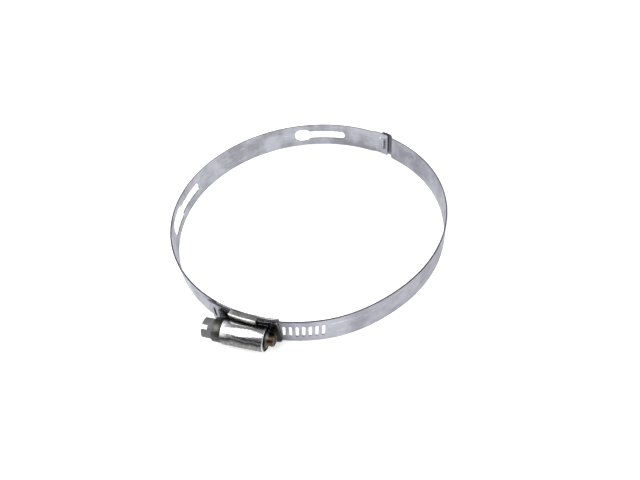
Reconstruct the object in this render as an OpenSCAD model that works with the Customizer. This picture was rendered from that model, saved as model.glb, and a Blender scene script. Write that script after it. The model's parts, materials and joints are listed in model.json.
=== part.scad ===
// Worm-drive hose clamp for a 127 mm hose: a plain band with keyholes and a slotted band make the
// ring, a pressed housing is held to them by a folded saddle, and a worm screw draws them together.
// Z is the hose axis, the ring is centred on the origin and the screw lies along X at the front (-Y).

/* [Ring] */
// Bore of the closed ring, which is the hose's outside diameter
bore_d = 127; // [110:1:160]
// Width of both bands
band_w = 12.7; // [12.2:0.1:14]
// Thickness of both bands
band_t = 0.6; // [0.5:0.05:0.7]
// Height of the pressed slots in the slotted band
slot_h = 6.8; // [5.6:0.1:8]
// Width of the pressed slots in the slotted band
slot_w = 1.25; // [1.2:0.01:1.4]
// Number of slots on each side of the one nearest the screw's middle
slots_each_side = 9; // [6:1:12]
// Angle round the ring from the point below the screw to the nearest slot
slot_lead = 0.7; // [-1:0.1:1]

/* [Keyholes] */
// Length of the first keyhole round the band, the one nearer the hook
keyhole_len = 28; // [20:1:34]
// Length of the second keyhole
keyhole2_len = 34.4; // [26:0.1:36]
// Height of the keyhole's wide end, which lets the hook's head through
keyhole_wide_h = 7.3; // [6.8:0.1:8.5]
// Height of the keyhole's narrow slot, which holds the hook's neck
keyhole_slot_h = 4.4; // [4.2:0.1:5.5]
// Length of the first keyhole's wide end
keyhole_wide_len = 8.8; // [8:0.1:11]
// Length of the second keyhole's wide end
keyhole2_wide_len = 16.7; // [8:0.1:18]
// Ring angle of the first keyhole's middle
keyhole_at = 100; // [95:0.1:110]
// Ring angle of the second keyhole's middle
keyhole2_at = 185.5; // [160:0.1:200]

/* [Hook] */
// Ring angle of the slotted band's hooked end
hook_at = 68.7; // [60:0.1:80]
// Width of the hook's head
hook_head_w = 6.4; // [5.5:0.1:6.6]
// Width of the hook's neck
hook_neck_w = 4; // [3:0.1:4.1]
// Length of the hook's head, folded back under the keyhole band's end bar
hook_head_len = 2.9; // [2:0.1:3.5]
// Length of the end bar from the hook window to the end of the keyhole band
end_bar = 3.8; // [3.4:0.1:5]

/* [Screw] */
// Distance between neighbouring threads
pitch = 2.6; // [2.5:0.05:2.8]
// Diameter over the thread
thread_d = 9; // [8.8:0.1:9.2]
// Depth of the thread
thread_depth = 0.8; // [0.7:0.05:0.9]
// Diameter of the bearing neck behind the collar
neck_d = 6.7; // [5:0.1:7]
// Diameter of the collar
collar_d = 9.8; // [9.4:0.1:10]
// Thickness of the collar
collar_t = 3.9; // [1.5:0.1:4.5]
// Width across the flats of the hex head
hex_af = 8; // [7:0.1:8.4]
// Length of the hex head
head_len = 4.5; // [3:0.1:6]
// Width of the screwdriver slot
driver_w = 1.7; // [1:0.1:1.8]
// Depth of the screwdriver slot
driver_depth = 2.7; // [1.5:0.1:3]
// Turn of the head's slot about the screw's axis, from level
driver_turn = 61; // [0:1:180]
// Diameter of the plain tip
tip_d = 5.2; // [4:0.1:6]
// Length of the plain tip
tip_len = 3; // [1:0.1:4]

/* [Housing] */
// Sheet thickness of the housing
shell_t = 0.7; // [0.6:0.05:0.9]
// Length of the barrel over the screw
barrel_len = 17.8; // [16:0.1:24]
// How far the barrel's tip end lies past the screw's contact point
barrel_lead = 3; // [2:0.1:5]
// Length of the base tongue past the barrel at the tip end
tip_tongue = 4.3; // [3:0.1:5]
// Length of the base tongue past the barrel at the head end
head_tongue = 3.7; // [1.5:0.1:4.5]

/* [Saddle] */
// Sheet thickness of the saddle
saddle_t = 0.6; // [0.5:0.05:0.8]
// Length of the folded ears along the screw
ear_len = 11.4; // [8:0.1:14]
// How far each ear is folded over the housing's flange
ear_lap = 2.2; // [1.5:0.1:2.3]

/* [Fits] */
// Gap between the saddle strap and the slotted band that slides over it
track_gap = 0.4; // [0.35:0.05:0.6]
// Gap between the sliding band and the housing
slide_gap = 0.1; // [0.1:0.05:0.2]
// Gap between the screw's core and the slotted band
core_gap = 0.2; // [0.15:0.05:0.3]
// Gap between the thread and the barrel's inside
thread_gap = 0.15; // [0.15:0.05:0.3]
// Radial clearance of the screw's neck in the housing's end wall
neck_gap = 0.05; // [0.02:0.01:0.1]
// End play of the screw on each side of the housing's end wall
end_play = 0.2; // [0.1:0.05:0.4]
// Gap between the screw's collar and the tongue beneath it
collar_gap = 0.15; // [0.1:0.05:0.2]
// Clearance round the hook's head and round the saddle's lock
lock_gap = 0.2; // [0.2:0.05:0.3]
// Gap that lets the end bar rock under the hooked end as the ring closes
hook_play = 0.75; // [0.7:0.05:0.9]

/* [Hidden] */

// Radii round the ring, from the bore outwards
bore_r = bore_d / 2;
track_r = bore_r + max(band_t, saddle_t) + track_gap;
flange_r = track_r + band_t + slide_gap;
flange_top = flange_r + shell_t;
end_bar_r = bore_r + band_t + lock_gap;
hook_r = end_bar_r + band_t + hook_play;

// Worm screw
thread_r = thread_d / 2;
core_r = thread_r - thread_depth;
axis_r = track_r + band_t + core_gap + core_r;
barrel_in = thread_r + thread_gap;
barrel_out = barrel_in + shell_t;
barrel_x1 = barrel_lead;
barrel_x0 = barrel_lead - barrel_len;
wall_x = barrel_x0 + shell_t;
core_x0 = wall_x + end_play;
core_x1 = barrel_x1 + 0.5;
collar_x = barrel_x0 - end_play;
head_x = collar_x - collar_t;
crest_w = 0.5;
root_w = 0.95;
bury = 0.2;
ring_steps = 24;
fade = 120;
lead_angle = atan(pitch / (2 * PI * (axis_r - track_r - band_t / 2)));

// Angles round the ring; the point below the screw is at 270
foot = 270;
mesh_r = track_r + band_t / 2;
slot_step = pitch / mesh_r * 180 / PI;
plain_end = 2.3;
plain_start = 1.0;
tail_end = foot + slot_lead - slots_each_side * slot_step - plain_end;
track_end = foot + slot_lead + slots_each_side * slot_step + plain_start;
long_ramp = 30;
short_ramp = 3;
sink = 0.02;
tip_end = foot + asin((barrel_x1 + tip_tongue) / flange_r);
head_end = foot + asin((barrel_x0 - head_tongue) / flange_r);
lock_at = head_end - 2;
ear_mid = foot + asin((barrel_x0 + barrel_x1) / 2 / flange_r) - 1;
ear_span = arc_deg(ear_len);

// Saddle lock: the keyhole band's end is a tee that drops into the saddle strap
lock_neck_w = 3.2;
lock_head_w = 5.6;
lock_neck_len = 2.2;
lock_head_len = 1.7;
lock_split = 0.22;

// Hook window in the keyhole band
window_len = 1.45;
neck_centre = hook_at;
window_a0 = neck_centre - arc_deg(window_len / 2);
window_a1 = neck_centre + arc_deg(window_len / 2);
bar_end = window_a0 - arc_deg(end_bar);

flange_w = band_w + 0.9;
ear_gap = 0.1;
ear_in_w = flange_w + 2 * ear_gap;
ear_out_w = ear_in_w + 2 * saddle_t;
lip_t = 2 * saddle_t;
through = 4;

$fn = 48;
arc_fn = 360;

// Angle that a length covers on the bore circle
function arc_deg(len) = len / bore_r * 180 / PI;

// Section carried round the ring from angle a0 to a1: its X is the radius and its Y runs up the band
module sweep(a0, a1) {
    rotate([0, 0, a0]) rotate_extrude(angle = a1 - a0, $fn = arc_fn) children();
}

// Sheet bent round the ring from angle a0 to a1
module arc_sheet(r, t, a0, a1, h) {
    sweep(a0, a1) translate([r, -h / 2]) square([t, h]);
}

// Sheet that steps smoothly from radius r0 at angle a0 to radius r1 at angle a1. It is a hair thinner
// than the sheets beside it and half a step longer at each end, so that its ends sink into them
module ramp_sheet(r0, r1, t, a0, a1, h) {
    steps = 16;
    inner = [for (i = [0:steps + 1]) ramp_point(r0, r1, a0, a1, (i - 0.5) / steps, sink)];
    outer = [for (i = [steps + 1:-1:0]) ramp_point(r0, r1, a0, a1, (i - 0.5) / steps, t - sink)];
    translate([0, 0, -h / 2]) linear_extrude(h) polygon(concat(inner, outer));
}
function ramp_point(r0, r1, a0, a1, f, t) =
    let (
        rise = (1 - cos(180 * max(0, min(1, f)))) / 2,
        r = r0 + (r1 - r0) * rise + t,
        a = a0 + (a1 - a0) * f
    )
    [r * cos(a), r * sin(a)];

// Puts a flat cutter on the ring at angle a: its X runs round the ring and its Y runs up the band
module on_ring(r, a) {
    rotate([0, 0, a]) translate([r, 0, 0]) rotate([90, 0, 90]) children();
}

// Slot with round ends, upright, centred
module round_slot(w, h) {
    square([w, h - w], center = true);
    for (s = [-1, 1]) translate([0, s * (h - w) / 2]) circle(d = w);
}

// Keyhole of length len: the wide end lies at the larger ring angle
module keyhole(len, wide_len) {
    end_r = keyhole_slot_h / 2;
    corner = keyhole_wide_h / 2 - 0.3;
    translate([-len / 2 + end_r, 0]) circle(end_r);
    translate([-len / 2 + end_r, -end_r])
        square([len - wide_len, keyhole_slot_h]);
    translate([len / 2 - wide_len / 2, 0]) {
        square([wide_len - 2 * corner, keyhole_wide_h], center = true);
        square([wide_len, keyhole_wide_h - 2 * corner], center = true);
        for (x = [-1, 1], y = [-1, 1])
            translate([x * (wide_len / 2 - corner), y * (keyhole_wide_h / 2 - corner)])
                circle(corner);
    }
}

// Plain band: tee at the saddle, two spare keyholes and the hook window near its free end
module keyhole_band() {
    ramp_a0 = window_a1 + 1;
    tee_a0 = lock_at + arc_deg(lock_neck_len);
    color("lightsteelblue") difference() {
        union() {
            arc_sheet(end_bar_r, band_t, bar_end, ramp_a0, band_w);
            ramp_sheet(end_bar_r, bore_r, band_t, ramp_a0, ramp_a0 + short_ramp, band_w);
            arc_sheet(bore_r, band_t, ramp_a0 + short_ramp, lock_at - arc_deg(lock_split), band_w);
            arc_sheet(bore_r, band_t, lock_at - 1, tee_a0 + 0.1, lock_neck_w);
            arc_sheet(bore_r, band_t, tee_a0, tee_a0 + arc_deg(lock_head_len), lock_head_w);
        }
        on_ring(bore_r - through, keyhole_at) linear_extrude(2 * through)
            keyhole(keyhole_len, keyhole_wide_len);
        on_ring(bore_r - through, keyhole2_at) linear_extrude(2 * through)
            keyhole(keyhole2_len, keyhole2_wide_len);
        arc_sheet(end_bar_r - 1, band_t + 2, window_a0, window_a1, hook_head_w + 2 * lock_gap);
    }
}

// Slotted band: tail and slots in the track, then flush with the bore, then the hooked end
module slotted_band() {
    step_a0 = bar_end - short_ramp - 0.6;
    neck_t = arc_deg(band_t);
    neck_a1 = neck_centre + neck_t / 2;
    color("gainsboro") difference() {
        union() {
            arc_sheet(track_r, band_t, tail_end, track_end, band_w);
            ramp_sheet(track_r, bore_r, band_t, track_end, track_end + long_ramp, band_w);
            arc_sheet(bore_r, band_t, track_end + long_ramp, step_a0 + 360, band_w);
            ramp_sheet(bore_r, hook_r, band_t, step_a0, step_a0 + short_ramp, band_w);
            arc_sheet(hook_r, band_t, step_a0 + short_ramp, window_a0 + 0.1, band_w);
            arc_sheet(hook_r, band_t, window_a0, neck_a1, hook_neck_w);
            arc_sheet(bore_r, hook_r - bore_r + band_t, neck_a1 - neck_t, neck_a1, hook_neck_w);
            arc_sheet(bore_r, band_t, neck_a1 - arc_deg(hook_head_len), neck_a1, hook_head_w);
        }
        for (i = [-slots_each_side:slots_each_side])
            on_ring(track_r - 1, foot + slot_lead + i * slot_step)
                linear_extrude(band_t + 2) rotate(-lead_angle) round_slot(slot_w, slot_h);
    }
}

// Bar along X at the screw's axis, from x0 to x1
module bar_x(r, x0, x1) {
    translate([x0, -axis_r, 0]) rotate([0, 90, 0]) cylinder(r = r, h = x1 - x0);
}

// Pressed housing: barrel over the screw, bearing wall at the head end, curved flanges and tongues
module housing() {
    color("silver") difference() {
        union() {
            bar_x(barrel_out, barrel_x0, barrel_x1);
            arc_sheet(flange_r, shell_t, head_end, tip_end, flange_w);
        }
        bar_x(barrel_in, wall_x, barrel_x1 + 0.9);
        bar_x(neck_d / 2 + neck_gap, barrel_x0 - 1, wall_x + 1);
        bar_x(collar_d / 2 + collar_gap, head_x - 1, collar_x + end_play / 2);
        cylinder(r = flange_r - sink, h = 4 * barrel_out, center = true, $fn = arc_fn);
    }
}

// Saddle: strap under the bands, locked to the keyhole band, with ears folded over the flanges
module saddle() {
    color("whitesmoke") difference() {
        sweep(lock_at, tip_end) ear_profile();
        ear_trim(lock_at - 1, ear_mid - ear_span / 2);
        ear_trim(ear_mid + ear_span / 2, tip_end + 1);
        arc_sheet(bore_r - 1, saddle_t + 2, lock_at - 1, lock_at + arc_deg(lock_neck_len),
            lock_neck_w + 2 * lock_gap);
        arc_sheet(bore_r - 1, saddle_t + 2, lock_at + arc_deg(lock_neck_len - lock_gap),
            lock_at + arc_deg(lock_neck_len + lock_head_len + lock_gap), lock_head_w + 2 * lock_gap);
    }
}

// Leaves only the strap between angles a0 and a1
module ear_trim(a0, a1) {
    top = flange_top + lip_t + 1;
    for (s = [0, 1]) mirror([0, 0, s]) sweep(a0, a1) polygon([
        [bore_r - 1, band_w / 2], [flange_r, band_w / 2], [flange_r, 0],
        [top, 0], [top, ear_out_w], [bore_r - 1, ear_out_w]
    ]);
}

// Section through strap and ears: a shallow channel whose lips are folded double and lie on the flanges
module ear_profile() {
    strap_bend = 1.2;
    lip_bend = 0.5;
    inside_t = flange_top - bore_r - saddle_t;
    difference() {
        translate([bore_r, -ear_out_w / 2])
            soft_square(saddle_t + inside_t + lip_t, ear_out_w, strap_bend, lip_bend);
        translate([bore_r + saddle_t, -ear_in_w / 2]) square([inside_t, ear_in_w]);
        translate([flange_top - 0.1, ear_lap - ear_out_w / 2 + 0.1])
            square([lip_t + 1, ear_out_w - 2 * ear_lap - 0.2]);
    }
}

// Rectangle from the origin with round corners, of radius r0 at its near side and r1 at its far side
module soft_square(w, h, r0, r1) {
    translate([r0, 0]) square([w - r0 - r1, h]);
    translate([0, r0]) square([w / 2, h - 2 * r0]);
    translate([w / 2, r1]) square([w / 2, h - 2 * r1]);
    for (y = [r0, h - r0]) translate([r0, y]) circle(r0);
    for (y = [r1, h - r1]) translate([w - r1, y]) circle(r1);
}

// Worm screw: slotted hex head, collar, bearing neck, right-hand thread and plain tip
module worm_screw() {
    chamfer = 0.6;
    color("dimgray") difference() {
        union() {
            hex_head(chamfer);
            bar_x(collar_d / 2, head_x, collar_x);
            bar_x(neck_d / 2, collar_x - 1, core_x0 + 1);
            bar_x(core_r, core_x0, core_x1);
            bar_x(tip_d / 2, core_x1 - 1, core_x1 + tip_len);
            translate([0, -axis_r, 0]) thread();
        }
        translate([head_x - head_len - 1, -axis_r, 0]) rotate([-driver_turn, 0, 0])
            translate([0, -hex_af, -driver_w / 2]) cube([driver_depth + 1, 2 * hex_af, driver_w]);
    }
}

// Hex head whose outer corners are turned off; two of its corners lie in line with the slot
module hex_head(chamfer) {
    corner_r = hex_af / sqrt(3);
    intersection() {
        translate([head_x - head_len, -axis_r, 0]) rotate([-driver_turn, 0, 0]) rotate([0, 90, 0])
            rotate(30) cylinder(r = corner_r, h = head_len + 1, $fn = 6);
        translate([head_x - head_len, -axis_r, 0]) rotate([0, 90, 0]) union() {
            cylinder(r1 = corner_r - chamfer, r2 = corner_r + 0.1, h = chamfer);
            translate([0, 0, chamfer]) cylinder(r = corner_r + 0.1, h = head_len + 1);
        }
    }
}

// Thread ridge as one swept solid; a crest faces the band wherever a slot's middle lies
module thread() {
    slot_x = mesh_r * sin(slot_lead);
    turn0 = ceil((core_x0 + root_w - slot_x) / pitch * ring_steps);
    turn1 = floor((core_x1 - root_w - slot_x) / pitch * ring_steps);
    rings = [for (i = [turn0:turn1]) thread_ring(slot_x, i, turn0, turn1)];
    count = len(rings);
    points = [for (ring = rings, p = ring) p];
    sides = [for (i = [0:count - 2], j = [0:3]) for (f = side_pair(i * 4, j)) f];
    ends = [[0, 2, 1], [0, 3, 2], last_face(count, 1, 2), last_face(count, 2, 3)];
    polyhedron(points = points, faces = concat(sides, ends), convexity = 10);
}
function thread_ring(slot_x, i, turn0, turn1) =
    let (
        a = i * 360 / ring_steps,
        x = slot_x + i * pitch / ring_steps,
        rise = min(1, (i - turn0) * 360 / ring_steps / fade, (turn1 - i) * 360 / ring_steps / fade),
        base = core_r - bury,
        top = base + 0.05 + (thread_r - base - 0.05) * rise,
        wide = root_w / 2,
        thin = crest_w / 2
    )
    [for (p = [[-wide, base], [-thin, top], [thin, top], [wide, base]])
        [x + p[0], p[1] * cos(a), p[1] * sin(a)]];
function side_pair(o, j) =
    let (k = (j + 1) % 4) [[o + j, o + k, o + 4 + k], [o + j, o + 4 + k, o + 4 + j]];
function last_face(count, j, k) = let (o = (count - 1) * 4) [o, o + j, o + k];

keyhole_band();
slotted_band();
housing();
saddle();
worm_screw();
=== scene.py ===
import json
from math import asin, cos, hypot, pi, radians

import bpy
from mathutils import Matrix, Vector


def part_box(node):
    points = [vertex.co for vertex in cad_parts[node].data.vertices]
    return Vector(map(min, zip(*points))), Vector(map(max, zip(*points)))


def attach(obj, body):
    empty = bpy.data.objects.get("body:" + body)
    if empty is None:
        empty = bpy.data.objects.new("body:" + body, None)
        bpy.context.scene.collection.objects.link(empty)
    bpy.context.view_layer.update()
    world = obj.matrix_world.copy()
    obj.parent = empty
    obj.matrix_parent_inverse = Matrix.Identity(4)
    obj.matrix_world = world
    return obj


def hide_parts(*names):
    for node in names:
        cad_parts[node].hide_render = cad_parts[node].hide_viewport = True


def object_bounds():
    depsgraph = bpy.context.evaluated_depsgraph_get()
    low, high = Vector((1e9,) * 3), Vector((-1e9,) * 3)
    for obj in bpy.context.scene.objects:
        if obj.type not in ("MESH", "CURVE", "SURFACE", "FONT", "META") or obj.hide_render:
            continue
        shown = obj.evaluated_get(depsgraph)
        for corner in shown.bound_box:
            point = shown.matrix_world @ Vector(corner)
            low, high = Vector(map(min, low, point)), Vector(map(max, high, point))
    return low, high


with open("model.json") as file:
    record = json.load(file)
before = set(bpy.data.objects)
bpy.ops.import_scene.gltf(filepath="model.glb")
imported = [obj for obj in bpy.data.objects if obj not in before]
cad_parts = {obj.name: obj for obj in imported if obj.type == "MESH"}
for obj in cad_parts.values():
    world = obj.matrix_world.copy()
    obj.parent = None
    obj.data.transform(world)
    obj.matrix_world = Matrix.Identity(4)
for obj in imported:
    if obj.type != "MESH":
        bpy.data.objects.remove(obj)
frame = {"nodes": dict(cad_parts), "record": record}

MM = 0.001
CAD_BOX = [list(corner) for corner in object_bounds()]

# Places taken from the frame: the screw lies along X, and the ring is centred on the origin
SCREW_LOW, SCREW_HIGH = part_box("worm_screw")
HOUSING_LOW, HOUSING_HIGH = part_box("housing")
AXIS_Y = (SCREW_LOW.y + SCREW_HIGH.y) / 2
BAND_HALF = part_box("keyhole_band")[1].z
HOSE_BORE = next(mount for mount in frame["record"]["mounts"] if mount["name"] == "hose_bore")
BORE_R = HOSE_BORE["dims"]["r_mm"] * MM

# Worm screw, lengths along X from the head to the tip
HEAD_LEN = 4.5 * MM
HEAD_AF = 8 * MM
HEAD_CHAMFER = 0.6 * MM
COLLAR_LEN = 3.9 * MM
COLLAR_R = SCREW_HIGH.z
END_PLAY = 0.2 * MM
NECK_R = 3.35 * MM
CORE_R = 3.7 * MM
THREAD_R = 4.5 * MM
TIP_R = 2.6 * MM
TIP_LEN = 3 * MM
PITCH = 2.6 * MM
THREAD_PHASE = 0.792 * MM
SLOT_W = 1.7 * MM
SLOT_DEPTH = 2.7 * MM
SLOT_TURN = radians(61)
HEAD_EDGE = 0.3 * MM
SHANK_ROUND = 0.35 * MM
THREAD_EDGE = 0.06 * MM
THREAD_TURNS = 6
CREST_HALF = 0.25 * MM
FOOT_HALF = 0.475 * MM
FOOT_R = CORE_R - 0.2 * MM

# Housing
SHEET = 0.7 * MM
BARREL_R = AXIS_Y - HOUSING_LOW.y
BARREL_BORE = BARREL_R - SHEET
NECK_HOLE = 3.4 * MM
COLLAR_RELIEF = COLLAR_R + 0.15 * MM
FLANGE_R = 65.2 * MM
TONGUE_CORNER = 1.6 * MM
BARREL_ROLL = 0.4 * MM
PRESSED_EDGE = 0.12 * MM
SLIDE_SINK = 0.02 * MM

HEAD_X = SCREW_LOW.x
COLLAR_X = HEAD_X + HEAD_LEN
NECK_X = COLLAR_X + COLLAR_LEN
BARREL_X0 = NECK_X + END_PLAY
CORE_X0 = BARREL_X0 + SHEET + END_PLAY
TIP_X1 = SCREW_HIGH.x
TIP_X0 = TIP_X1 - TIP_LEN
BARREL_X1 = TIP_X0 - 0.5 * MM

# Fineness of the meshes, and the round on sheared edges
TURN_SIDES = 96
TRACK_SIDES = 720
THREAD_STEPS = 48
WELD = 2e-6
EDGE = 0.07 * MM

# Camera
SENSOR_W = 36
LENS = 28.83
CAMERA_AT = Vector((65.67, -162.54, 170.52)) * MM
CAMERA_AIM = Vector((9.84, -14.75, 0)) * MM
CAMERA_ROLL = radians(-7.57)


# ---------------------------------------------------------------- bench work
def only(piece):
    """Selects one piece and makes it active."""
    bpy.ops.object.select_all(action="DESELECT")
    bpy.context.view_layer.objects.active = piece
    piece.select_set(True)


def to_edit(piece, select="SELECT"):
    """Opens a piece's mesh for editing, with all or nothing selected."""
    only(piece)
    bpy.ops.object.mode_set(mode="EDIT")
    bpy.ops.mesh.select_all(action=select)


def to_object():
    bpy.ops.object.mode_set(mode="OBJECT")


def settle(piece):
    """Puts a piece's place into its mesh."""
    only(piece)
    bpy.ops.object.transform_apply(location=True, rotation=True, scale=True)


def face_outwards(piece):
    """Merges doubled points and turns every face outwards."""
    to_edit(piece)
    bpy.ops.mesh.remove_doubles(threshold=1e-6)
    bpy.ops.mesh.normals_make_consistent(inside=False)
    to_object()


def apply_modifier(piece, kind, **values):
    only(piece)
    modifier = piece.modifiers.new(kind.lower(), kind)
    for key, value in values.items():
        setattr(modifier, key, value)
    bpy.ops.object.modifier_apply(modifier=modifier.name)


def join_shapes(piece, other, operation):
    """Adds or cuts a second shape, which is used up."""
    apply_modifier(piece, "BOOLEAN", object=other, operation=operation, solver="EXACT")
    bpy.data.objects.remove(other)


def break_edges(piece, width, segments=2, angle=40):
    apply_modifier(piece, "BEVEL", width=width, segments=segments, limit_method="ANGLE",
                   angle_limit=radians(angle), use_clamp_overlap=True)


def smooth(piece, angle=32):
    only(piece)
    bpy.ops.object.shade_smooth_by_angle(angle=radians(angle))


def bar(name, radius, x0, x1, sides=TURN_SIDES):
    """Round or many-sided bar along the screw's axis."""
    bpy.ops.object.select_all(action="DESELECT")
    bpy.ops.mesh.primitive_cylinder_add(vertices=sides, radius=radius, depth=x1 - x0,
                                        location=((x0 + x1) / 2, AXIS_Y, 0), rotation=(0, pi / 2, 0))
    piece = bpy.context.active_object
    piece.name = name
    settle(piece)
    return piece


def turn_about_screw(piece, angle):
    """Turns a piece's mesh about the screw's axis, from +Y towards +Z."""
    only(piece)
    piece.matrix_world = (Matrix.Translation((0, AXIS_Y, 0)) @ Matrix.Rotation(angle, 4, "X")
                          @ Matrix.Translation((0, -AXIS_Y, 0)))
    settle(piece)


def turned(name, stations):
    """Turned part: a disc drawn out along X through stations of place and radius."""
    x, radius = stations[0]
    bpy.ops.object.select_all(action="DESELECT")
    bpy.ops.mesh.primitive_circle_add(vertices=TURN_SIDES, radius=radius, fill_type="NGON",
                                      location=(x, AXIS_Y, 0), rotation=(0, pi / 2, 0))
    piece = bpy.context.active_object
    piece.name = name
    settle(piece)
    to_edit(piece)
    for next_x, next_radius in stations[1:]:
        bpy.ops.mesh.extrude_region_move(TRANSFORM_OT_translate={"value": (next_x - x, 0, 0)})
        share = next_radius / radius
        bpy.ops.transform.resize(value=(1, share, share), center_override=(next_x, AXIS_Y, 0))
        x, radius = next_x, next_radius
    to_object()
    face_outwards(piece)
    return piece


def sew(piece, flat_within):
    """Merges loose triangles and dissolves the edges between faces that lie flat together."""
    to_edit(piece)
    bpy.ops.mesh.remove_doubles(threshold=WELD)
    bpy.ops.mesh.dissolve_limited(angle_limit=radians(flat_within))
    to_object()


def take_over(piece, node, material):
    """The piece stands for a CAD node, moves with its body and takes its finish."""
    bodies = frame["record"]["behaviour"]["bodies"]
    body = next(name for name, nodes in bodies.items() if node in nodes)
    piece.data.materials.clear()
    piece.data.materials.append(material)
    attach(piece, body)
    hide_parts(node)


# ---------------------------------------------------------------- pressed strip
def pressed_strip(node, name, edge):
    """A strip part with its sheared edges broken, from a copy of the node's mesh."""
    piece = bpy.data.objects.new(name, frame["nodes"][node].data.copy())
    bpy.context.scene.collection.objects.link(piece)
    only(piece)
    bpy.ops.mesh.customdata_custom_splitnormals_clear()
    sew(piece, flat_within=1)
    break_edges(piece, edge)
    smooth(piece)
    return piece


# ---------------------------------------------------------------- housing
def flange_sheet():
    """Curved sheet under the barrel, spun about the hose axis; round_tongues rounds its corners afterwards.
    """
    steps = 60
    reach0 = asin(HOUSING_LOW.x / (FLANGE_R + SHEET))
    reach1 = asin(HOUSING_HIGH.x / (FLANGE_R + SHEET))
    bpy.ops.object.select_all(action="DESELECT")
    bpy.ops.mesh.primitive_plane_add(size=1, rotation=(pi / 2, 0, pi / 2))
    sheet = bpy.context.active_object
    sheet.name = "housing_flange"
    settle(sheet)
    sheet.scale = (1, SHEET, 2 * HOUSING_HIGH.z)
    settle(sheet)
    sheet.location = (0, -FLANGE_R - SHEET / 2, 0)
    settle(sheet)
    sheet.rotation_euler = (0, 0, reach0)
    settle(sheet)
    to_edit(sheet)
    bpy.ops.mesh.spin(steps=steps, angle=reach0 - reach1, center=(0, 0, 0), axis=(0, 0, 1))
    to_object()
    face_outwards(sheet)
    return sheet


def round_tongues(sheet):
    """Rounds the flange's four corners by cutting it to a block with round upright edges."""
    bpy.ops.object.select_all(action="DESELECT")
    bpy.ops.mesh.primitive_cube_add(size=1)
    block = bpy.context.active_object
    length = HOUSING_HIGH.x - HOUSING_LOW.x - 2 * SLIDE_SINK
    width = 2 * HOUSING_HIGH.z - SLIDE_SINK
    block.location = ((HOUSING_LOW.x + HOUSING_HIGH.x) / 2, -FLANGE_R, 0)
    block.scale = (length, 8 * BARREL_R, width)
    settle(block)
    to_edit(block, "DESELECT")
    to_object()
    for edge in block.data.edges:
        a, b = (block.data.vertices[i].co for i in edge.vertices)
        edge.select = abs(a.y - b.y) > BARREL_R
    only(block)
    bpy.ops.object.mode_set(mode="EDIT")
    bpy.ops.mesh.select_mode(type="EDGE")
    bpy.ops.mesh.bevel(offset=TONGUE_CORNER, segments=8, affect="EDGES")
    to_object()
    join_shapes(sheet, block, "INTERSECT")


def make_housing():
    """Pressed housing: a barrel over the screw on a curved flange, with a bearing hole for the neck."""
    roll = BARREL_ROLL
    shallow = 0.3 * roll
    housing = turned("housing_pressing", [
        (BARREL_X0, BARREL_R - roll),
        (BARREL_X0 + shallow, BARREL_R - shallow),
        (BARREL_X0 + roll, BARREL_R),
        (BARREL_X1 - roll, BARREL_R),
        (BARREL_X1 - shallow, BARREL_R - shallow),
        (BARREL_X1, BARREL_R - roll),
    ])
    sheet = flange_sheet()
    round_tongues(sheet)
    join_shapes(housing, sheet, "UNION")
    for name, radius, x0, x1 in (
            ("bore", BARREL_BORE, BARREL_X0 + SHEET, BARREL_X1 + SHEET),
            ("neck_hole", NECK_HOLE, BARREL_X0 - SHEET, BARREL_X0 + 2 * SHEET),
            ("collar_relief", COLLAR_RELIEF, COLLAR_X - SHEET, BARREL_X0 - END_PLAY / 2)):
        join_shapes(housing, bar(name, radius, x0, x1), "DIFFERENCE")
    bpy.ops.object.select_all(action="DESELECT")
    bpy.ops.mesh.primitive_cylinder_add(vertices=TRACK_SIDES, radius=FLANGE_R, depth=4 * BARREL_R)
    track = bpy.context.active_object
    join_shapes(housing, track, "DIFFERENCE")
    sew(housing, flat_within=0.3)
    break_edges(housing, PRESSED_EDGE, segments=3)
    smooth(housing)
    return housing


# ---------------------------------------------------------------- worm screw
def hex_head():
    """Slotted hex head, its outer end turned to a chamfer; two corners lie in line with the slot."""
    corner = HEAD_AF / 2 / cos(pi / 6)
    head = bar("hex_head", corner, HEAD_X, COLLAR_X + HEAD_LEN / 2, sides=6)
    cone = turned("chamfer", [(HEAD_X, corner - HEAD_CHAMFER), (HEAD_X + HEAD_CHAMFER, corner + EDGE),
                              (COLLAR_X + HEAD_LEN, corner + EDGE)])
    join_shapes(head, cone, "INTERSECT")
    bpy.ops.object.select_all(action="DESELECT")
    bpy.ops.mesh.primitive_cube_add(size=1, location=(HEAD_X, AXIS_Y, 0))
    slot = bpy.context.active_object
    slot.scale = (2 * SLOT_DEPTH, 2 * HEAD_AF, SLOT_W)
    settle(slot)
    join_shapes(head, slot, "DIFFERENCE")
    break_edges(head, HEAD_EDGE, segments=3)
    turn_about_screw(head, -SLOT_TURN)
    return head


def shank():
    """Collar, bearing neck, core and plain tip, turned in one."""
    round_off = SHANK_ROUND
    shallow = 0.3 * round_off
    return turned("shank", [
        (COLLAR_X, COLLAR_R - round_off),
        (COLLAR_X + shallow, COLLAR_R - shallow),
        (COLLAR_X + round_off, COLLAR_R),
        (NECK_X - round_off, COLLAR_R),
        (NECK_X - shallow, COLLAR_R - shallow),
        (NECK_X, COLLAR_R - round_off),
        (NECK_X, NECK_R),
        (CORE_X0, NECK_R),
        (CORE_X0, CORE_R),
        (TIP_X0, CORE_R),
        (TIP_X0, TIP_R + round_off),
        (TIP_X0 + round_off, TIP_R),
        (TIP_X1 - 2 * round_off, TIP_R),
        (TIP_X1 - 2 * shallow, TIP_R - 2 * shallow),
        (TIP_X1, TIP_R - 2 * round_off),
        (TIP_X1 - round_off, TIP_R - 3.5 * round_off),
    ])


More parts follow.
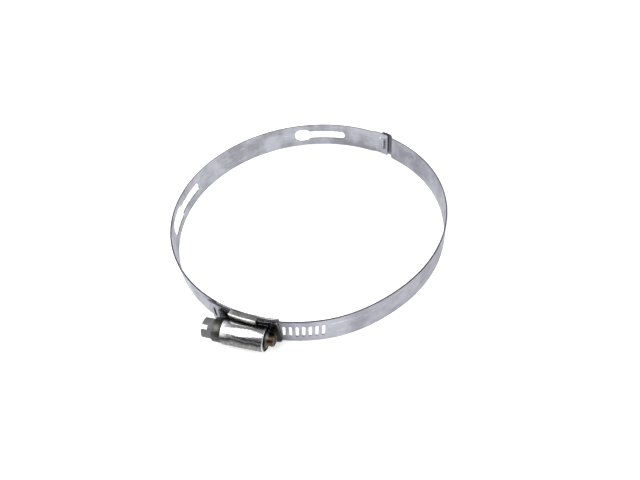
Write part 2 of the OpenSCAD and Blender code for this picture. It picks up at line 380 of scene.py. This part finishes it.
def rolled_thread():
    """Right-hand thread: a ridge's section swept along the screw by the Screw modifier."""
    bpy.ops.object.select_all(action="DESELECT")
    bpy.ops.mesh.primitive_plane_add(size=1, location=(0, (FOOT_R + THREAD_R) / 2, 0))
    ridge = bpy.context.active_object
    ridge.name = "thread_ridge"
    ridge.scale = (2 * FOOT_HALF, THREAD_R - FOOT_R, 1)
    settle(ridge)
    to_edit(ridge, "DESELECT")
    to_object()
    for vertex in ridge.data.vertices:
        vertex.select = vertex.co.y > (FOOT_R + THREAD_R) / 2
    only(ridge)
    bpy.ops.object.mode_set(mode="EDIT")
    bpy.ops.transform.resize(value=(CREST_HALF / FOOT_HALF, 1, 1), center_override=(0, THREAD_R, 0))
    bpy.ops.mesh.select_all(action="SELECT")
    bpy.ops.mesh.delete(type="ONLY_FACE")
    to_object()
    apply_modifier(ridge, "SCREW", axis="X", screw_offset=PITCH, steps=THREAD_STEPS,
                   render_steps=THREAD_STEPS, iterations=THREAD_TURNS, use_merge_vertices=False)
    to_edit(ridge)
    bpy.ops.mesh.fill_holes(sides=4)
    bpy.ops.mesh.normals_make_consistent(inside=False)
    to_object()
    fade_thread_ends(ridge)
    ridge.location = (THREAD_PHASE - (THREAD_TURNS - 1) * PITCH, AXIS_Y, 0)
    settle(ridge)
    return ridge


def fade_thread_ends(ridge):
    """The ridge rises out of the core over a third of a turn at each end."""
    fade = PITCH / 3
    least = 0.05
    for vertex in ridge.data.vertices:
        radius = hypot(vertex.co.y, vertex.co.z)
        if radius < (FOOT_R + CORE_R) / 2:
            continue
        from_start = max(least, vertex.co.x / fade)
        to_end = max(least, (THREAD_TURNS * PITCH - vertex.co.x) / fade)
        rise = min(1, from_start, to_end)
        share = (FOOT_R + (THREAD_R - FOOT_R) * rise) / radius
        vertex.co.y *= share
        vertex.co.z *= share


def make_worm_screw():
    """Worm screw in one piece: shank, slotted head and thread."""
    screw = shank()
    screw.name = "worm_screw_turned"
    join_shapes(screw, hex_head(), "UNION")
    join_shapes(screw, rolled_thread(), "UNION")
    break_edges(screw, THREAD_EDGE, segments=2, angle=50)
    smooth(screw)
    return screw


# ---------------------------------------------------------------- shared effects
def new_group(name, inputs, outputs):
    """An empty node group with named sockets; each input gives its name, kind and first value."""
    group = bpy.data.node_groups.new(name, "ShaderNodeTree")
    for label, kind, value in inputs:
        socket = group.interface.new_socket(label, in_out="INPUT", socket_type="NodeSocket" + kind)
        if value is not None:
            socket.default_value = value
    for label, kind in outputs:
        group.interface.new_socket(label, in_out="OUTPUT", socket_type="NodeSocket" + kind)
    return group, group.nodes.new("NodeGroupInput").outputs, group.nodes.new("NodeGroupOutput").inputs


def math_node(tree, operation, *values):
    node = tree.nodes.new("ShaderNodeMath")
    node.operation = operation
    fill(tree, node, values)
    return node.outputs[0]


def vector_node(tree, operation, *values):
    node = tree.nodes.new("ShaderNodeVectorMath")
    node.operation = operation
    fill(tree, node, values)
    return node.outputs["Value"] if operation in ("LENGTH", "DOT_PRODUCT") else node.outputs["Vector"]


def fill(tree, node, values):
    """Links sockets and sets plain values, in the order of the node's inputs."""
    for socket, value in zip(node.inputs, values):
        if isinstance(value, bpy.types.NodeSocket):
            tree.links.new(value, socket)
        elif value is not None:
            socket.default_value = value


def range_node(tree, value, low, high, start=0.0, end=1.0):
    """Carries a value from low..high smoothly to start..end."""
    node = tree.nodes.new("ShaderNodeMapRange")
    node.interpolation_type = "SMOOTHSTEP"
    fill(tree, node, (value, low, high, start, end))
    return node.outputs[0]


def noise_node(tree, vector, scale, detail=3.0, roughness=0.5):
    node = tree.nodes.new("ShaderNodeTexNoise")
    tree.links.new(vector, node.inputs["Vector"])
    for label, value in (("Scale", scale), ("Detail", detail), ("Roughness", roughness)):
        if isinstance(value, bpy.types.NodeSocket):
            tree.links.new(value, node.inputs[label])
        else:
            node.inputs[label].default_value = value
    return node.outputs["Fac"]


def mix_colour(tree, mask, a, b, strength=None, blend="MIX"):
    """Goes from colour a to colour b by a mask, times a strength if one is given."""
    if strength is not None:
        mask = math_node(tree, "MULTIPLY", mask, strength)
    node = tree.nodes.new("ShaderNodeMix")
    node.data_type = "RGBA"
    node.blend_type = blend
    for socket, value in ((node.inputs[0], mask), (node.inputs[6], a), (node.inputs[7], b)):
        if isinstance(value, bpy.types.NodeSocket):
            tree.links.new(value, socket)
        else:
            socket.default_value = value
    return node.outputs[2]


def layered(tree, base, **layers):
    """A base value plus each named layer, given as a mask and how much it adds."""
    total = base
    for mask, amount in layers.values():
        total = math_node(tree, "ADD", total, math_node(tree, "MULTIPLY", mask, amount))
    return total


def ring_place_group():
    """Place on the ring: length along the band, radius, height and way to the front, in millimetres."""
    group, _, outputs = new_group(
        "ring_place", [],
        [("Place", "Vector"), ("Radius", "Float"), ("Height", "Float"), ("Front", "Float")])
    where = group.nodes.new("ShaderNodeTexCoord").outputs["Object"]
    split = group.nodes.new("ShaderNodeSeparateXYZ")
    group.links.new(where, split.inputs[0])
    angle = math_node(group, "ARCTAN2", split.outputs["Y"], split.outputs["X"])
    flat = vector_node(group, "MULTIPLY", where, (1, 1, 0))
    radius = math_node(group, "MULTIPLY", vector_node(group, "LENGTH", flat), 1 / MM)
    height = math_node(group, "MULTIPLY", split.outputs["Z"], 1 / MM)
    join = group.nodes.new("ShaderNodeCombineXYZ")
    fill(group, join, (math_node(group, "MULTIPLY", angle, BORE_R / MM), radius, height))
    group.links.new(join.outputs[0], outputs["Place"])
    group.links.new(radius, outputs["Radius"])
    group.links.new(height, outputs["Height"])
    group.links.new(math_node(group, "MULTIPLY", split.outputs["Y"], -1 / MM), outputs["Front"])
    return group


def screw_place_group():
    """Place about the screw: length along its axis, radius and height, in millimetres."""
    group, _, outputs = new_group(
        "screw_place", [],
        [("Place", "Vector"), ("Along", "Float"), ("Radius", "Float"), ("Height", "Float")])
    where = group.nodes.new("ShaderNodeTexCoord").outputs["Object"]
    centred = vector_node(group, "SUBTRACT", where, (0, AXIS_Y, 0))
    scaled = vector_node(group, "MULTIPLY", centred, (1 / MM, 1 / MM, 1 / MM))
    split = group.nodes.new("ShaderNodeSeparateXYZ")
    group.links.new(scaled, split.inputs[0])
    radius = vector_node(group, "LENGTH", vector_node(group, "MULTIPLY", scaled, (0, 1, 1)))
    group.links.new(scaled, outputs["Place"])
    group.links.new(split.outputs["X"], outputs["Along"])
    group.links.new(radius, outputs["Radius"])
    group.links.new(split.outputs["Z"], outputs["Height"])
    return group


def drawn_lines_group():
    """Fine lines left by rolling or turning: noise drawn out by Stretch."""
    group, inputs, outputs = new_group(
        "drawn_lines",
        [("Place", "Vector", None), ("Stretch", "Vector", (1, 1, 1)), ("Fineness", "Float", 4.0)],
        [("Lines", "Float")])
    stretched = vector_node(group, "MULTIPLY", inputs["Place"], inputs["Stretch"])
    fineness = inputs["Fineness"]
    four_times_finer = math_node(group, "MULTIPLY", fineness, 4.0)
    coarse = noise_node(group, stretched, fineness, detail=2.0)
    fine = noise_node(group, stretched, four_times_finer, detail=2.0)
    group.links.new(layered(group, 0.0, coarse=(coarse, 0.6), fine=(fine, 0.4)), outputs["Lines"])
    return group


def clouds_group():
    """Soft uneven tint of a plated or handled surface, from one colour to another."""
    group, inputs, outputs = new_group(
        "clouds", [("Place", "Vector", None), ("Size", "Float", 0.1), ("Colour A", "Color", (1, 1, 1, 1)),
                   ("Colour B", "Color", (0, 0, 0, 1))],
        [("Colour", "Color"), ("Mask", "Float")])
    cloud = noise_node(group, inputs["Place"], inputs["Size"], detail=4.0, roughness=0.6)
    mask = range_node(group, cloud, low=0.36, high=0.66)
    group.links.new(mix_colour(group, mask, inputs["Colour A"], inputs["Colour B"]), outputs["Colour"])
    group.links.new(mask, outputs["Mask"])
    return group


def scratches_group():
    """Thin handling scratches in two directions, as a mask: noise drawn out to thin lines."""
    group, inputs, outputs = new_group("scratches", [("Place", "Vector", None), ("Size", "Float", 0.5)],
                                       [("Mask", "Float")])
    long_lines = (0.5, (0.12, 3, 3))
    short_lines = (-0.9, (0.2, 4, 4))
    found = None
    for turn, stretch in (long_lines, short_lines):
        place = group.nodes.new("ShaderNodeMapping")
        place.inputs["Rotation"].default_value = (turn, turn / 2, turn)
        place.inputs["Scale"].default_value = stretch
        group.links.new(inputs["Place"], place.inputs["Vector"])
        streaks = noise_node(group, place.outputs[0], inputs["Size"], detail=1.0)
        thin = range_node(group, streaks, low=0.68, high=0.72)
        found = thin if found is None else math_node(group, "MAXIMUM", found, thin)
    group.links.new(found, outputs["Mask"])
    return group


def worn_edges_group():
    """Mask of the outer edges, where the finish is rubbed, broken up by noise."""
    group, inputs, outputs = new_group("worn_edges", [("Place", "Vector", None)], [("Mask", "Float")])
    rounded = group.nodes.new("ShaderNodeBevel")
    rounded.samples = 4
    rounded.inputs["Radius"].default_value = 0.25 * MM
    flat = group.nodes.new("ShaderNodeNewGeometry").outputs["Normal"]
    turn = math_node(group, "SUBTRACT", 1.0, vector_node(group, "DOT_PRODUCT", rounded.outputs[0], flat))
    edge = range_node(group, turn, low=0.01, high=0.08)
    rub = range_node(group, noise_node(group, inputs["Place"], scale=1.3), low=0.35, high=0.6)
    group.links.new(math_node(group, "MULTIPLY", edge, rub), outputs["Mask"])
    return group


RING_PLACE = ring_place_group()
SCREW_PLACE = screw_place_group()
DRAWN_LINES = drawn_lines_group()
CLOUDS = clouds_group()
SCRATCHES = scratches_group()
WORN_EDGES = worn_edges_group()


# ---------------------------------------------------------------- finishes
def use(tree, group, **values):
    """Places a shared effect in a material; underscores stand for spaces in its inputs' names."""
    node = tree.nodes.new("ShaderNodeGroup")
    node.node_tree = group
    for label, value in values.items():
        socket = node.inputs[label.replace("_", " ")]
        if isinstance(value, bpy.types.NodeSocket):
            tree.links.new(value, socket)
        else:
            socket.default_value = value
    return node.outputs


def new_metal(name):
    """A material holding only its output and one fully metallic Principled BSDF."""
    material = bpy.data.materials.new(name)
    material.use_nodes = True
    tree = material.node_tree
    tree.nodes.clear()
    output = tree.nodes.new("ShaderNodeOutputMaterial")
    shader = tree.nodes.new("ShaderNodeBsdfPrincipled")
    shader.inputs["Metallic"].default_value = 1
    tree.links.new(shader.outputs["BSDF"], output.inputs["Surface"])
    return material, tree, shader


def bump(tree, shader, height, depth):
    """Raises a surface's shading by a height from 0 to 1 times a depth."""
    node = tree.nodes.new("ShaderNodeBump")
    node.inputs["Distance"].default_value = depth
    tree.links.new(height, node.inputs["Height"])
    tree.links.new(node.outputs[0], shader.inputs["Normal"])


def strip_steel(name, pale, deep):
    """Rolled bright strip: fine lines along the band, soft cloudy tint, and painted shade darkening the
    sheared edges, more towards the front.
    """
    rosy = (0.99, 0.96, 0.98, 1)
    rolled_grey = (0.42, 0.42, 0.46, 1)
    bright_scratch = (0.9, 0.9, 0.9, 1)
    edge_shade_dark = (0.11, 0.1, 0.14, 1)
    rubbed_bright = (0.75, 0.75, 0.78, 1)
    half_width = BAND_HALF / MM
    material, tree, shader = new_metal(name)
    at = use(tree, RING_PLACE)
    lines = use(tree, DRAWN_LINES, Place=at["Place"], Stretch=(0.05, 2.4, 2.4), Fineness=1.1)["Lines"]
    tint = use(tree, CLOUDS, Place=at["Place"], Size=0.09, Colour_A=pale, Colour_B=deep)
    warm = use(tree, CLOUDS, Place=at["Place"], Size=0.17, Colour_A=(1, 1, 1, 1), Colour_B=rosy)
    rubbed = use(tree, WORN_EDGES, Place=at["Place"])["Mask"]
    scratch = use(tree, SCRATCHES, Place=at["Place"], Size=0.6)["Mask"]
    off_centre = math_node(tree, "ABSOLUTE", at["Height"])
    # Painted shade: the band's edges are darkened, more strongly towards the front of the ring
    rim = range_node(tree, off_centre, low=half_width - 0.12, high=half_width - 0.01)
    edge_shade_to_front = range_node(tree, at["Front"], low=-12, high=25, start=0.2, end=0.9)
    colour = mix_colour(tree, 1.0, tint["Colour"], warm["Colour"], blend="MULTIPLY")
    colour = mix_colour(tree, lines, colour, rolled_grey, strength=0.2)
    colour = mix_colour(tree, scratch, colour, bright_scratch, strength=0.3)
    colour = mix_colour(tree, rim, colour, edge_shade_dark, strength=edge_shade_to_front)
    colour = mix_colour(tree, rubbed, colour, rubbed_bright, strength=0.25)
    tree.links.new(colour, shader.inputs["Base Color"])
    roughness = layered(tree, 0.3, lines=(lines, 0.16), clouds=(tint["Mask"], 0.08))
    tree.links.new(roughness, shader.inputs["Roughness"])
    bump(tree, shader, layered(tree, lines, scratches=(scratch, -0.5)), depth=0.006 * MM)
    return material


def housing_steel():
    """Bright pressed steel: polished barrel, a speckled dull underside darker towards the bottom with a
    painted dark reflection streak, painted shade on the flange and the barrel's back close to the ring and
    inside the bore, and a painted highlight on the lip.
    """
    polished = (0.83, 0.83, 0.81, 1)
    polished_deep = (0.66, 0.67, 0.69, 1)
    speckle_dark = (0.07, 0.07, 0.065, 1)
    speckle_pale = (0.36, 0.36, 0.34, 1)
    streak_reflection_dark = (0.02, 0.02, 0.02, 1)
    flange_shade_dark = (0.035, 0.035, 0.035, 1)
    bore_shade_dark = (0.03, 0.03, 0.03, 1)
    lip_highlight = (0.85, 0.85, 0.8, 1)
    scratch_grey = (0.5, 0.5, 0.48, 1)
    rubbed_bright = (0.9, 0.9, 0.86, 1)
    barrel_r = BARREL_R / MM
    bore_r = BARREL_BORE / MM
    mouth = BARREL_X1 / MM
    material, tree, shader = new_metal("housing_steel")
    at = use(tree, SCREW_PLACE)
    ring = use(tree, RING_PLACE)
    lines = use(tree, DRAWN_LINES, Place=at["Place"], Stretch=(3, 0.25, 0.25), Fineness=1.2)["Lines"]
    dents = noise_node(tree, at["Place"], scale=0.32, detail=2.0)
    tint = use(tree, CLOUDS, Place=at["Place"], Size=0.35, Colour_A=polished, Colour_B=polished_deep)
    grains = noise_node(tree, at["Place"], scale=2.2, detail=4.0, roughness=0.75)
    speckle = range_node(tree, grains, low=0.4, high=0.6)
    scratch = use(tree, SCRATCHES, Place=at["Place"], Size=0.9)["Mask"]
    rubbed = use(tree, WORN_EDGES, Place=at["Place"])["Mask"]

    # Below a wavy edge the barrel turns darker, speckled and rougher towards the bottom, and just under
    # that edge runs a painted dark reflection, a streak
    wavy_height = layered(tree, at["Height"], waves=(dents, 1.6))
    dull = range_node(tree, wavy_height, low=4.6, high=3.4)
    reflection_streak = range_node(tree, wavy_height, low=1.5, high=3.3)

    # Painted shade on what lies close to the ring (the flange and the barrel's back) and inside the bore;
    # the lip is the barrel's edge at its open end
    flange_shade = range_node(tree, ring["Radius"], low=69.0, high=68.2)
    inside = range_node(tree, at["Radius"], low=bore_r + 0.12, high=bore_r + 0.02)
    outside = range_node(tree, at["Radius"], low=barrel_r - 0.45, high=barrel_r - 0.3)
    clear_of_flange = range_node(tree, ring["Radius"], low=67.0, high=67.6)
    # Painted highlight: the barrel's outer edge at its mouth is lightened
    at_mouth = range_node(tree, at["Along"], low=mouth - 0.5, high=mouth - 0.3)
    lip_highlight_mask = math_node(tree, "MULTIPLY", at_mouth, math_node(tree, "MULTIPLY", outside, clear_of_flange))

    underside = mix_colour(tree, reflection_streak, mix_colour(tree, speckle, speckle_dark, speckle_pale), streak_reflection_dark)
    colour = mix_colour(tree, dull, tint["Colour"], underside, strength=0.96)
    # Painted shade close to the ring and inside the bore
    colour = mix_colour(tree, flange_shade, colour, flange_shade_dark, strength=0.93)
    colour = mix_colour(tree, inside, colour, bore_shade_dark, strength=0.9)
    colour = mix_colour(tree, lip_highlight_mask, colour, lip_highlight, strength=0.7)
    colour = mix_colour(tree, scratch, colour, scratch_grey, strength=0.35)
    colour = mix_colour(tree, rubbed, colour, rubbed_bright, strength=0.6)
    tree.links.new(colour, shader.inputs["Base Color"])
    roughness = layered(tree, 0.09, dull=(dull, 0.34), lines=(lines, 0.1))
    tree.links.new(roughness, shader.inputs["Roughness"])
    bump(tree, shader, layered(tree, lines, speckle=(speckle, 1.0), dents=(dents, 13.0)), depth=0.006 * MM)
    return material


def saddle_steel():
    """Brushed pressed steel with lines along the folded ears."""
    brushed = (0.74, 0.74, 0.71, 1)
    brushed_deep = (0.52, 0.53, 0.5, 1)
    line_grey = (0.24, 0.24, 0.22, 1)
    bright_scratch = (0.9, 0.9, 0.88, 1)
    rubbed_bright = (0.88, 0.88, 0.85, 1)
    material, tree, shader = new_metal("saddle_steel")
    at = use(tree, RING_PLACE)
    lines = use(tree, DRAWN_LINES, Place=at["Place"], Stretch=(0.15, 2.2, 2.2), Fineness=1.6)["Lines"]
    tint = use(tree, CLOUDS, Place=at["Place"], Size=0.3, Colour_A=brushed, Colour_B=brushed_deep)
    scratch = use(tree, SCRATCHES, Place=at["Place"], Size=0.8)["Mask"]
    rubbed = use(tree, WORN_EDGES, Place=at["Place"])["Mask"]
    colour = mix_colour(tree, lines, tint["Colour"], line_grey, strength=0.5)
    colour = mix_colour(tree, scratch, colour, bright_scratch, strength=0.3)
    colour = mix_colour(tree, rubbed, colour, rubbed_bright, strength=0.5)
    tree.links.new(colour, shader.inputs["Base Color"])
    tree.links.new(layered(tree, 0.16, lines=(lines, 0.22)), shader.inputs["Roughness"])
    bump(tree, shader, lines, depth=0.004 * MM)
    return material


def screw_steel():
    """Dull dark steel with turning marks, a paler head, bright worn edges and a brown tip."""
    dull_steel = (0.11, 0.11, 0.105, 1)
    dull_deep = (0.055, 0.055, 0.05, 1)
    head_grey = (0.36, 0.37, 0.36, 1)
    brown = (0.13, 0.09, 0.045, 1)
    brown_deep = (0.016, 0.011, 0.007, 1)
    pit_dark = (0.05, 0.05, 0.05, 1)
    rubbed_bright = (0.6, 0.6, 0.58, 1)
    collar_start = COLLAR_X / MM
    tip_start = TIP_X0 / MM
    material, tree, shader = new_metal("screw_steel")
    at = use(tree, SCREW_PLACE)
    lines = use(tree, DRAWN_LINES, Place=at["Place"], Stretch=(3, 0.3, 0.3), Fineness=1.5)["Lines"]
    tint = use(tree, CLOUDS, Place=at["Place"], Size=0.4, Colour_A=dull_steel, Colour_B=dull_deep)
    tip_tint = use(tree, CLOUDS, Place=at["Place"], Size=0.9, Colour_A=brown, Colour_B=brown_deep)
    head = range_node(tree, at["Along"], low=collar_start + 0.05, high=collar_start - 0.05)
    tip = range_node(tree, at["Along"], low=tip_start + 0.1, high=tip_start + 0.5)
    grains = noise_node(tree, at["Place"], scale=4.0, detail=3.0, roughness=0.7)
    pits = range_node(tree, grains, low=0.45, high=0.7)
    rubbed = use(tree, WORN_EDGES, Place=at["Place"])["Mask"]
    colour = mix_colour(tree, head, tint["Colour"], head_grey, strength=0.5)
    colour = mix_colour(tree, tip, colour, tip_tint["Colour"])
    colour = mix_colour(tree, pits, colour, pit_dark, strength=0.4)
    colour = mix_colour(tree, rubbed, colour, rubbed_bright, strength=0.55)
    tree.links.new(colour, shader.inputs["Base Color"])
    roughness = layered(tree, 0.34, lines=(lines, 0.2), polished_tip=(tip, -0.16))
    tree.links.new(roughness, shader.inputs["Roughness"])
    bump(tree, shader, layered(tree, lines, pits=(pits, -1.0)), depth=0.01 * MM)
    return material


# ---------------------------------------------------------------- studio
def aim(obj, target, roll=0.0):
    """Turns an object's -Z axis to a point, then rolls it about that axis."""
    direction = Vector(target) - obj.location
    turn = direction.to_track_quat("-Z", "Y").to_matrix().to_4x4()
    obj.rotation_euler = (turn @ Matrix.Rotation(roll, 4, "Z")).to_euler()


def make_camera():
    """Camera in front of the clamp and above it, a little to its right and rolled a little."""
    data = bpy.data.cameras.new("camera")
    data.sensor_width = SENSOR_W
    data.lens = LENS
    camera = bpy.data.objects.new("camera", data)
    bpy.context.scene.collection.objects.link(camera)
    camera.location = CAMERA_AT
    aim(camera, CAMERA_AIM, CAMERA_ROLL)
    bpy.context.scene.camera = camera


def softbox(name, place, size, power, target):
    """Soft rectangular lamp turned to a point."""
    data = bpy.data.lights.new(name, "AREA")
    data.shape = "RECTANGLE"
    data.size, data.size_y = size
    data.energy = power
    lamp = bpy.data.objects.new(name, data)
    bpy.context.scene.collection.objects.link(lamp)
    lamp.location = place
    aim(lamp, target)


def make_floor(span, lift):
    """Pale paper floor. The camera sees it lifted a little, as an evenly lit backdrop."""
    paper = {"Base Color": (0.93, 0.93, 0.93, 1), "Roughness": 0.9, "Specular IOR Level": 0.1,
             "Emission Color": (1, 1, 1, 1)}
    bpy.ops.object.select_all(action="DESELECT")
    bpy.ops.mesh.primitive_plane_add(size=span, location=(0, 0, CAD_BOX[0][2]))
    floor = bpy.context.active_object
    floor.name = "floor"
    material = bpy.data.materials.new("floor_paper")
    material.use_nodes = True
    tree = material.node_tree
    shader = tree.nodes["Principled BSDF"]
    for label, value in paper.items():
        shader.inputs[label].default_value = value
    seen = tree.nodes.new("ShaderNodeLightPath").outputs["Is Camera Ray"]
    tree.links.new(math_node(tree, "MULTIPLY", seen, lift), shader.inputs["Emission Strength"])
    floor.data.materials.append(material)


def make_world(horizon, middle, overhead, sides):
    """A dim room with pale walls far to the left and right. The camera sees it as white paper."""
    wall_blue = 1.04
    room_blue = 1.08
    world = bpy.data.worlds.new("studio")
    bpy.context.scene.world = world
    world.use_nodes = True
    tree = world.node_tree
    split = tree.nodes.new("ShaderNodeSeparateXYZ")
    ramp = tree.nodes.new("ShaderNodeValToRGB")
    tree.links.new(tree.nodes.new("ShaderNodeTexCoord").outputs["Generated"], split.inputs[0])
    tree.links.new(split.outputs["Z"], ramp.inputs[0])
    walls = range_node(tree, math_node(tree, "ABSOLUTE", split.outputs["X"]), low=0.55, high=0.8)
    pale = mix_colour(tree, walls, ramp.outputs[0], (sides, sides, sides * wall_blue, 1))
    seen = tree.nodes.new("ShaderNodeLightPath").outputs["Is Camera Ray"]
    tree.links.new(mix_colour(tree, seen, pale, (1, 1, 1, 1)), tree.nodes["Background"].inputs["Color"])
    heights = (0.05, 0.45, 0.75)
    stops = ramp.color_ramp.elements
    stops.new(heights[1])
    for stop, height, grey in zip(stops, heights, (horizon, middle, overhead)):
        stop.position = height
        stop.color = (grey, grey, grey * room_blue, 1)


# ---------------------------------------------------------------- the clamp
keyhole_steel = strip_steel("keyhole_band_steel", pale=(0.49, 0.51, 0.545, 1), deep=(0.3, 0.303, 0.325, 1))
slotted_steel = strip_steel("slotted_band_steel", pale=(0.45, 0.462, 0.5, 1), deep=(0.3, 0.303, 0.34, 1))
for node, name, slot, steel in (("keyhole_band", "keyhole_band_strip", "band_zinc", keyhole_steel),
                                ("slotted_band", "slotted_band_strip", "band_zinc", slotted_steel),
                                ("saddle", "saddle_pressing", "saddle_zinc", saddle_steel())):
    take_over(pressed_strip(node, name, EDGE), node, steel)
take_over(make_housing(), "housing", housing_steel())
take_over(make_worm_screw(), "worm_screw", screw_steel())

make_camera()
make_floor(span=6, lift=0.42)
make_world(horizon=0.03, middle=0.06, overhead=0.25, sides=1.9)
softbox("top_softbox", place=(-0.24, -0.24, 0.55), size=(0.5, 0.6), power=3.6, target=(0, -0.05, 0))
softbox("right_fill", place=(0.6, 0.1, 0.45), size=(0.5, 0.5), power=2.4, target=(0, 0, 0))
bpy.context.scene.view_settings.view_transform = "Standard"
